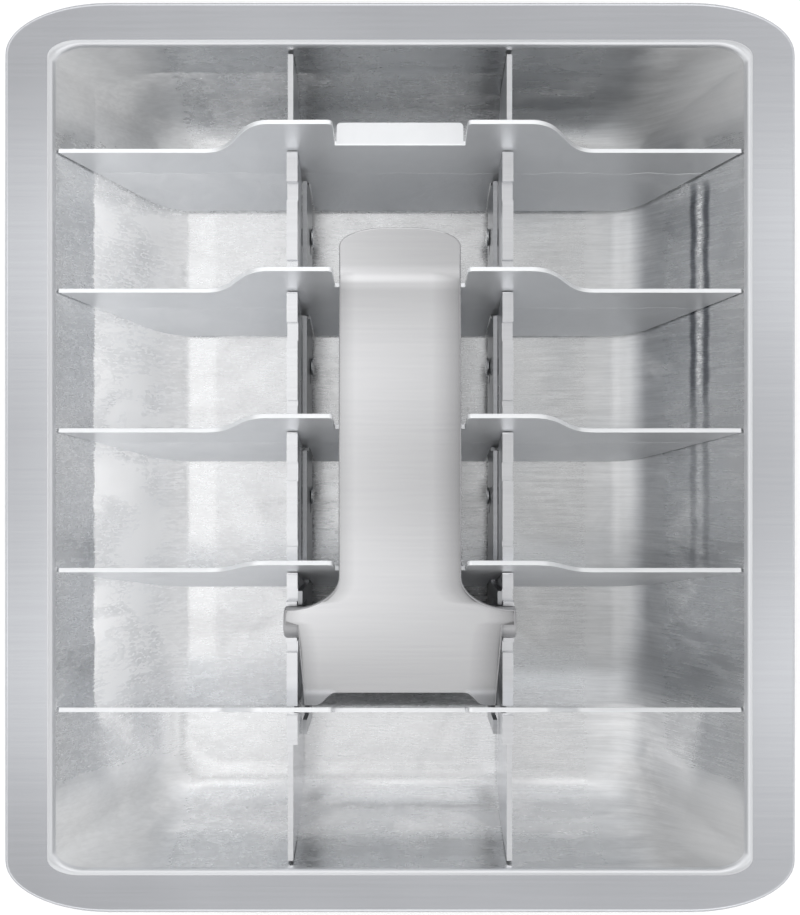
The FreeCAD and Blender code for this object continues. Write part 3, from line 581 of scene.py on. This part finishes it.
def rounded_ring(half_x, half_y, corner_x, corner_y, z):
    """Points round a rectangle whose corners are quarter ellipses."""
    ring = []
    for sign_x, sign_y in ((1, 1), (-1, 1), (-1, -1), (1, -1)):
        side = Vector((sign_x * half_x, sign_y * (half_y - corner_y)))
        tip = Vector((sign_x * half_x, sign_y * half_y))
        end = Vector((sign_x * (half_x - corner_x), sign_y * half_y))
        first, last = (side, end) if sign_x * sign_y > 0 else (end, side)
        ring += [(p.x, p.y, z) for p in arc_quarter(first, tip, last, CORNER_STEPS)]
        ring.append((last.x, last.y, z))
    return ring


def wall_ring(z, skin, floor, fillet, top, roll):
    """Points round the pan's walls at one height, skin outside the inner face."""
    share = (z - floor) / (top - floor)
    corner_x, corner_y = (low + (high - low) * share + skin
                          for low, high in zip(FLOOR_CORNER, MOUTH_CORNER))
    return rounded_ring(SIDE_WALL.half(z, skin, floor, fillet, top, roll),
                        END_WALL.half(z, skin, floor, fillet, top, roll), corner_x, corner_y, z)


def wall_rings(skin, floor, fillet, top, roll):
    """Rings from the floor up the fillet, then from the top of the wall over the mouth's roll."""
    low = floor + fillet
    high = top - roll
    rise = [low - fillet * math.cos(math.pi / 2 * k / FILLET_STEPS) for k in range(FILLET_STEPS + 1)]
    turn = [high + roll * math.sin(math.pi / 2 * k / ROLL_STEPS) for k in range(ROLL_STEPS + 1)]
    return [wall_ring(z, skin, floor, fillet, top, roll) for z in rise + turn]


def rim_ring(inset, z):
    """Points round the rim's outline, drawn in by inset."""
    return rounded_ring(TRAY_WIDTH / 2 - inset, TRAY_LENGTH / 2 - inset,
                        RIM_CORNER[0] - inset, RIM_CORNER[1] - inset, z)


def make_pan():
    """One closed skin: up the inside, over the rim and its lip, and down the outside."""
    inner = wall_rings(0.0, PAN_SHEET, FLOOR_FILLET, PAN_HEIGHT, MOUTH_ROLL)
    outer = wall_rings(PAN_SHEET, 0.0, FLOOR_FILLET + PAN_SHEET, PAN_HEIGHT - PAN_SHEET,
                       MOUTH_ROLL - PAN_SHEET)
    edge = []
    for k in range(ROLL_STEPS + 1):
        angle = math.pi / 2 * k / ROLL_STEPS
        edge.append(rim_ring(EDGE_ROLL * (1 - math.sin(angle)),
                             PAN_HEIGHT - EDGE_ROLL * (1 - math.cos(angle))))
    lip = PAN_HEIGHT - LIP_DEPTH
    under = [rim_ring(0.0, lip + LIP_ROUND), rim_ring(LIP_ROUND, lip),
             rim_ring(2 * PAN_SHEET - LIP_ROUND, lip), rim_ring(2 * PAN_SHEET, lip + LIP_ROUND),
             rim_ring(2 * PAN_SHEET, PAN_HEIGHT - PAN_SHEET)]
    bands = (len(inner) - 1 - ROLL_STEPS, ROLL_STEPS, len(edge) + 1, len(under) + len(outer) - 1)
    slots = [index for index, count in enumerate(bands) for _ in range(count)]
    pan = smooth(shell("pan_shell", inner + edge + under + outer[::-1],
                       (INSIDE_METAL, MOUTH_METAL, RIM_METAL, OUTSIDE_METAL), slots))
    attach(pan, "pan")
    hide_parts("tray_pan")


# ---------------------------------------------------------------- lever
BOW_CENTRE = Vector((BOW_CROWN_Y, 0.0))      # (y, z); its height is set so that the ears fit
BOW_CENTRE.y = (PIVOT_Z + BARREL_RADIUS + SHEET_OVER_BARREL
                - math.sqrt(BOW_RADIUS ** 2 - (PIVOT_Y - BOW_CROWN_Y) ** 2))
BEND_START = math.asin((BEND_Y - BOW_CROWN_Y) / BOW_RADIUS)
BEND_END = BEND_START - BEND_ANGLE
BEND_CENTRE = BOW_CENTRE + (BOW_RADIUS + BEND_RADIUS) * Vector((math.sin(BEND_START),
                                                                math.cos(BEND_START)))
BEND_END_Y = BEND_CENTRE.x - BEND_RADIUS * math.sin(BEND_END)


def sheet_top(y):
    """Height of the lever's top face: a gentle bow, then the tip bent up."""
    if y <= BEND_Y:
        return BOW_CENTRE.y + math.sqrt(BOW_RADIUS ** 2 - (y - BOW_CENTRE.x) ** 2)
    if y <= BEND_END_Y:
        return BEND_CENTRE.y - math.sqrt(BEND_RADIUS ** 2 - (BEND_CENTRE.x - y) ** 2)
    end = BEND_CENTRE.y - BEND_RADIUS * math.cos(BEND_END)
    return end - (y - BEND_END_Y) * math.tan(BEND_END)


def lever_outline(inset, rear_inset):
    """Plan outline of the lever drawn in by inset, as a loop of points."""
    rear = FOOT_Y + rear_inset
    arch = FOOT_Y + ARCH_DEPTH + rear_inset
    tongue = TONGUE_HALF - inset
    front = BASE_FRONT_HALF - inset
    flare_end = FLARE_END_Y - inset
    tip = TIP_Y - inset
    tip_side = TIP_Y - TIP_CORNER[1]
    half = [Vector((0.0, tip))]
    half += arc_quarter(Vector((TONGUE_HALF - TIP_CORNER[0], tip)), Vector((tongue, tip)),
                        Vector((tongue, tip_side)), 2 * CORNER_STEPS)
    half += [Vector((tongue, tip_side + (FLARE_START_Y - tip_side) * k / SIDE_STEPS))
             for k in range(SIDE_STEPS)]
    half += arc_quarter(Vector((tongue, FLARE_START_Y)), Vector((tongue, flare_end)),
                        Vector((front, flare_end)), 2 * CORNER_STEPS)
    half += [Vector((front, flare_end)), Vector((front, PIVOT_Y)),
             Vector((BASE_HALF - inset, PIVOT_Y)), Vector((FOOT_HALF - inset, rear))]
    half += ogee_points(Vector((FOOT_INNER + inset, rear)), Vector((ARCH_HALF + inset, arch)), OGEE_STEPS)
    half += [Vector((ARCH_HALF + inset, arch)), Vector((0.0, arch))]
    return half + [Vector((-p.x, p.y)) for p in reversed(half[1:-1])]


def lever_press():
    """The pressed sheet: rings from the flat over the rolled edge, then in along the underside."""
    turns = [math.pi / 2 * k / ROLL_STEPS for k in range(ROLL_STEPS + 1)]
    levels = [(LEVER_ROLL * (1 - math.sin(a)), LEVER_ROLL * (1 - math.cos(a))) for a in turns]
    levels += [(0.0, LEVER_SKIRT - SMALL_ROUND)]
    rings = [lever_outline(inset, inset * REAR_SHARE) for inset, depth in levels]
    inner = [(SMALL_ROUND, LEVER_SKIRT), (LEVER_SHEET - SMALL_ROUND, LEVER_SKIRT),
             (LEVER_SHEET, LEVER_SKIRT - SMALL_ROUND), (LEVER_SHEET, LEVER_SHEET)]
    rings += [lever_outline(inset, inset) for inset, depth in inner]
    rings = [[(p.x, p.y, -depth) for p in ring] for ring, (inset, depth) in zip(rings, levels + inner)]
    return shell("lever_press", rings, (LEVER_METAL, EDGE_SHADE_METAL))


def follow_bow(lever, cuts):
    """Cut the flat lever across Y at the cuts and raise it onto its bow and bend."""
    build = bmesh.new()
    build.from_mesh(lever.data)
    for y in cuts:
        bmesh.ops.bisect_plane(build, geom=build.verts[:] + build.edges[:] + build.faces[:],
                               plane_co=(0, y * MM, 0), plane_no=(0, 1, 0), dist=CUT_DISTANCE)
    for vertex in build.verts:
        vertex.co.z += sheet_top(vertex.co.y / MM) * MM
    build.to_mesh(lever.data)
    build.free()


def make_lever():
    """The pressed sheet, and on each side an ear, a cam and the flange that carries them."""
    lever = lever_press()
    steady = [FOOT_Y + (BEND_Y - FOOT_Y) * k / BOW_STEPS for k in range(1, BOW_STEPS)]
    bend = [BEND_Y + (BEND_END_Y - BEND_Y) * k / BEND_STEPS for k in range(BEND_STEPS + 1)]
    follow_bow(lever, steady + bend)
    smooth(lever)
    # Faces off the flat top take the darker sheet of painted shade.
    for polygon in lever.data.polygons:
        polygon.use_smooth = polygon.normal.z < FLAT_TOP
        polygon.material_index = int(polygon.use_smooth)
    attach(lever, "lever")
    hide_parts("lever")
    for name, sign in (("left", -1), ("right", 1)):
        for piece in (make_barrel(name, sign), make_cam(name, sign), make_flange(name, sign)):
            smooth(piece)
            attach(piece, "lever")


def circle(x, radius, height):
    """Points round a line along X that lies over the hinge's Y."""
    turns = [2 * math.pi * k / EAR_STEPS for k in range(EAR_STEPS)]
    return [(x, PIVOT_Y + radius * math.cos(a), height + radius * math.sin(a)) for a in turns]


def make_barrel(name, sign):
    """Ear rolled from the sheet: an open tube that turns in the rail's notch."""
    inner, bore = FLANGE_OUTER - LEVER_SHEET, BARREL_RADIUS - BARREL_WALL
    end = LEVER_HIGH.x / MM
    rings = [(inner, BARREL_RADIUS), (end - EAR_ROUND, BARREL_RADIUS), (end, BARREL_RADIUS - EAR_ROUND),
             (end, bore + EAR_ROUND), (end - EAR_ROUND, bore), (CAM_END, bore)]
    rings = [circle(sign * x, radius, PIVOT_Z) for x, radius in rings]
    # The ear takes the darker sheet of painted shade.
    return shell("lever_ear_" + name, rings, (EDGE_SHADE_METAL,))


def make_cam(name, sign):
    """Disc under the ear, which presses on the draw strip's lug."""
    inner = FLANGE_OUTER - LEVER_SHEET / 2
    rings = [(inner, CAM_RADIUS), (CAM_END - EAR_ROUND, CAM_RADIUS), (CAM_END, CAM_RADIUS - EAR_ROUND)]
    rings = [circle(sign * x, radius, PIVOT_Z - CAM_THROW) for x, radius in rings]
    return shell("lever_cam_" + name, rings, (LEVER_METAL,))


def make_flange(name, sign):
    """Side plate under the base: straight behind, round below where it carries the cam."""
    rear, front = PIVOT_Y - FLANGE_REAR, PIVOT_Y + FLANGE_FRONT
    cam_z = PIVOT_Z - CAM_THROW
    edge = [(rear, sheet_top(rear) - LEVER_SHEET / 2), (rear, sheet_top(rear) - 2 * LEVER_SKIRT)]
    radius = CAM_RADIUS + CAM_RIM
    for k in range(CAM_STEPS + 1):
        angle = FLANGE_TURN + (2 * math.pi - FLANGE_TURN) * k / CAM_STEPS
        edge.append((PIVOT_Y + radius * math.cos(angle), cam_z + radius * math.sin(angle)))
    edge += [(front, cam_z), (front, sheet_top(front) - LEVER_SHEET / 2)]
    sides = [[(sign * x, y, z) for y, z in edge] for x in (FLANGE_OUTER - LEVER_SHEET, FLANGE_OUTER)]
    return shell("lever_flange_" + name, sides, (LEVER_METAL,))


# ---------------------------------------------------------------- grid
def dress(node, name, body, materials, rounding, edges_over=0.0):
    """A fine copy of a CAD piece: merged faces, softly rounded edges and a second material
    on the sheet's cut edges that lie higher than edges_over."""
    source = frame["nodes"][node]
    piece = bpy.data.objects.new(name, source.data.copy())
    bpy.context.scene.collection.objects.link(piece)
    build = bmesh.new()
    build.from_mesh(piece.data)
    bmesh.ops.remove_doubles(build, verts=build.verts, dist=MERGE_DISTANCE)
    bmesh.ops.dissolve_limit(build, angle_limit=MERGE_ANGLE, verts=build.verts, edges=build.edges)
    build.normal_update()
    plate = max(build.faces, key=lambda face: face.calc_area()).normal.copy()
    for face in build.faces:
        across = abs(face.normal.dot(plate)) < CUT_FACE
        high = face.calc_center_median().z > edges_over * MM
        face.material_index = int(across and high and len(materials) > 1)
    build.to_mesh(piece.data)
    build.free()
    piece.data.materials.clear()
    for finish in materials:
        piece.data.materials.append(finish)
    bevel = piece.modifiers.new("edges", "BEVEL")
    bevel.width = rounding * MM
    bevel.segments = 2
    bevel.limit_method = "ANGLE"
    bevel.angle_limit = ROUNDED_ANGLE
    bevel.use_clamp_overlap = True
    bevel.material = 0
    smooth(piece)
    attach(piece, body)
    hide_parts(node)


def make_grid():
    """Rails, draw strips, rivets and blades, all copied from the CAD pieces."""
    for side in ("left", "right"):
        rail, strip, rivets = "side_rail_" + side, "strip_" + side, "rivets_" + side
        # The rails' top hem band takes the painted highlight.
        dress(rail, "rail_" + side, "grid", (RAIL_METAL, RAIL_HIGHLIGHT_METAL), RAIL_ROUND,
              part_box(rail)[1].z / MM - RAIL_HEM)
        # The draw strips take the darker sheet of painted shade.
        dress("draw_" + strip, strip, strip, (STRIP_SHADE_METAL,), THIN_ROUND)
        dress("guide_" + rivets, rivets, "grid", (RIVET_METAL,), RIVET_ROUND)
    for index in range(1, BLADE_COUNT + 1):
        node = "blade_%d" % index
        dress(node, "cross_" + node, node, (BLADE_METAL, EDGE_METAL), THIN_ROUND)


# ---------------------------------------------------------------- studio
CAMERA_OVER_RIM = 217.6      # mm
LENS, SENSOR = 39.08, 36.0   # mm
CLIP_START = 0.01            # m
ROOM_LEVEL = 1.36            # brightness of the whole room
# Brightness of the room by slope from straight up: along the tray, then across it.
SKY_ALONG = ((0.0, 0.53), (0.07, 0.58), (0.13, 0.74), (0.20, 0.84), (0.27, 0.78), (0.34, 0.63),
             (0.45, 0.42), (0.60, 0.75), (0.8, 1.35), (1.2, 1.85))
SKY_ACROSS = ((-2.5, 1.25), (-1.1, 1.7), (-0.65, 1.35), (-0.46, 0.83), (-0.36, 0.83), (-0.28, 1.0),
              (0.30, 1.0), (0.37, 1.15), (0.50, 1.15), (0.65, 1.05), (1.1, 0.75), (2.5, 0.7))
# A light panel left of straight up and a dark flag right of it: their weight by slope across.
PANEL_ACROSS = ((-0.30, 0.0), (-0.23, 1.0), (-0.13, 1.0), (-0.06, 0.0), (0.07, 0.0), (0.13, 1.0),
                (0.23, 1.0), (0.30, 0.0))
PANEL_LEVEL, FLAG_LEVEL = 1.25, 0.35
PANEL_SEAM = (-0.01, 0.01)   # slope across where the panel turns into the flag
PANEL_REACH = (0.26, 0.36)   # slope along the tray over which panel and flag end
SIDE_LEVEL = 0.85            # level of the room's plain sides, below the overhead lights
SIDE_TOP = (0.60, 0.74)      # sine of the elevation over which the sides turn into the overhead
HORIZON = (0.12, 0.24)       # sine of the elevation where the room leaves its dark foot
HORIZON_LEVEL = 0.25         # brightness of that foot
LOWEST_RISE = 0.05           # keeps the slopes finite at the horizon
SKY_TOP = 2.0                # top of the sky curves' scale
FLOOR_COLOR = (0.92, 0.92, 0.92)
FLOOR_LIFT = 0.18            # glow that lifts the floor to white
FLOOR_REACH, FLOOR_Z = 1.5, -0.0002     # m


def make_world():
    """Soft room: plain sides, a patterned light overhead, dark at its foot, white to the camera."""
    world = bpy.data.worlds.new("studio")
    bpy.context.scene.world = world
    nodes = Nodes(world)
    x, y, z = nodes.split(nodes.places["Generated"])
    rise = nodes.most(z, LOWEST_RISE)
    across = nodes.math("DIVIDE", x, rise)
    along = nodes.math("ABSOLUTE", nodes.math("DIVIDE", y, rise))
    sky = nodes.times(nodes.curve(along, SKY_ALONG, SKY_TOP), nodes.curve(across, SKY_ACROSS, SKY_TOP))
    weight = nodes.times(nodes.curve(across, PANEL_ACROSS),
                         nodes.spread(along, 1.0, 0.0, *PANEL_REACH, soft=True))
    sky = nodes.blend(weight, sky, nodes.spread(across, PANEL_LEVEL, FLAG_LEVEL, *PANEL_SEAM))
    sky = nodes.blend(nodes.spread(z, 0.0, 1.0, *SIDE_TOP, soft=True), SIDE_LEVEL, sky)
    foot = nodes.spread(z, HORIZON_LEVEL, 1.0, *HORIZON, soft=True)
    room = nodes.tree.nodes["Background"]
    nodes.feed(nodes.times(sky, foot, ROOM_LEVEL), room.inputs["Strength"])
    white = nodes.add("ShaderNodeBackground")
    choice = nodes.add("ShaderNodeMixShader")
    path = nodes.add("ShaderNodeLightPath").outputs
    nodes.feed(nodes.most(path["Is Camera Ray"], path["Is Transmission Ray"]), choice.inputs["Fac"])
    nodes.feed(room.outputs["Background"], choice.inputs[1])
    nodes.feed(white.outputs["Background"], choice.inputs[2])
    for background in (room, white):
        nodes.feed((1.0, 1.0, 1.0), background.inputs["Color"])
    nodes.feed(choice.outputs["Shader"], nodes.tree.nodes["World Output"].inputs["Surface"])


def floor_white():
    """Pale floor, lifted a little towards white where the camera or a mirroring face sees it."""
    nodes = material("floor_white")
    shader = nodes.tree.nodes["Principled BSDF"]
    path = nodes.add("ShaderNodeLightPath").outputs
    seen = nodes.most(path["Is Camera Ray"], path["Is Glossy Ray"], path["Is Transmission Ray"])
    nodes.feed((1.0, 1.0, 1.0), shader.inputs["Emission Color"])
    nodes.feed(nodes.times(seen, FLOOR_LIFT), shader.inputs["Emission Strength"])
    return surface(nodes, FLOOR_COLOR, 0.8, 0.0)


def make_floor():
    """Square floor just under the pan."""
    mesh = bpy.data.meshes.new("floor")
    corners = [(x * FLOOR_REACH, y * FLOOR_REACH, FLOOR_Z) for x, y in ((-1, -1), (1, -1), (1, 1), (-1, 1))]
    mesh.from_pydata(corners, [], [(0, 1, 2, 3)])
    floor = bpy.data.objects.new("floor", mesh)
    bpy.context.scene.collection.objects.link(floor)
    mesh.materials.append(floor_white())


def make_camera():
    """Looks straight down over the middle of the tray."""
    camera = bpy.data.objects.new("camera", bpy.data.cameras.new("camera"))
    bpy.context.scene.collection.objects.link(camera)
    camera.location = (0.0, 0.0, (PAN_HEIGHT + CAMERA_OVER_RIM) * MM)
    camera.data.sensor_width = SENSOR
    camera.data.lens = LENS
    camera.data.clip_start = CLIP_START
    bpy.context.scene.camera = camera


make_pan()
make_lever()
make_grid()
make_world()
make_floor()
make_camera()
bpy.context.scene.view_settings.view_transform = "Standard"
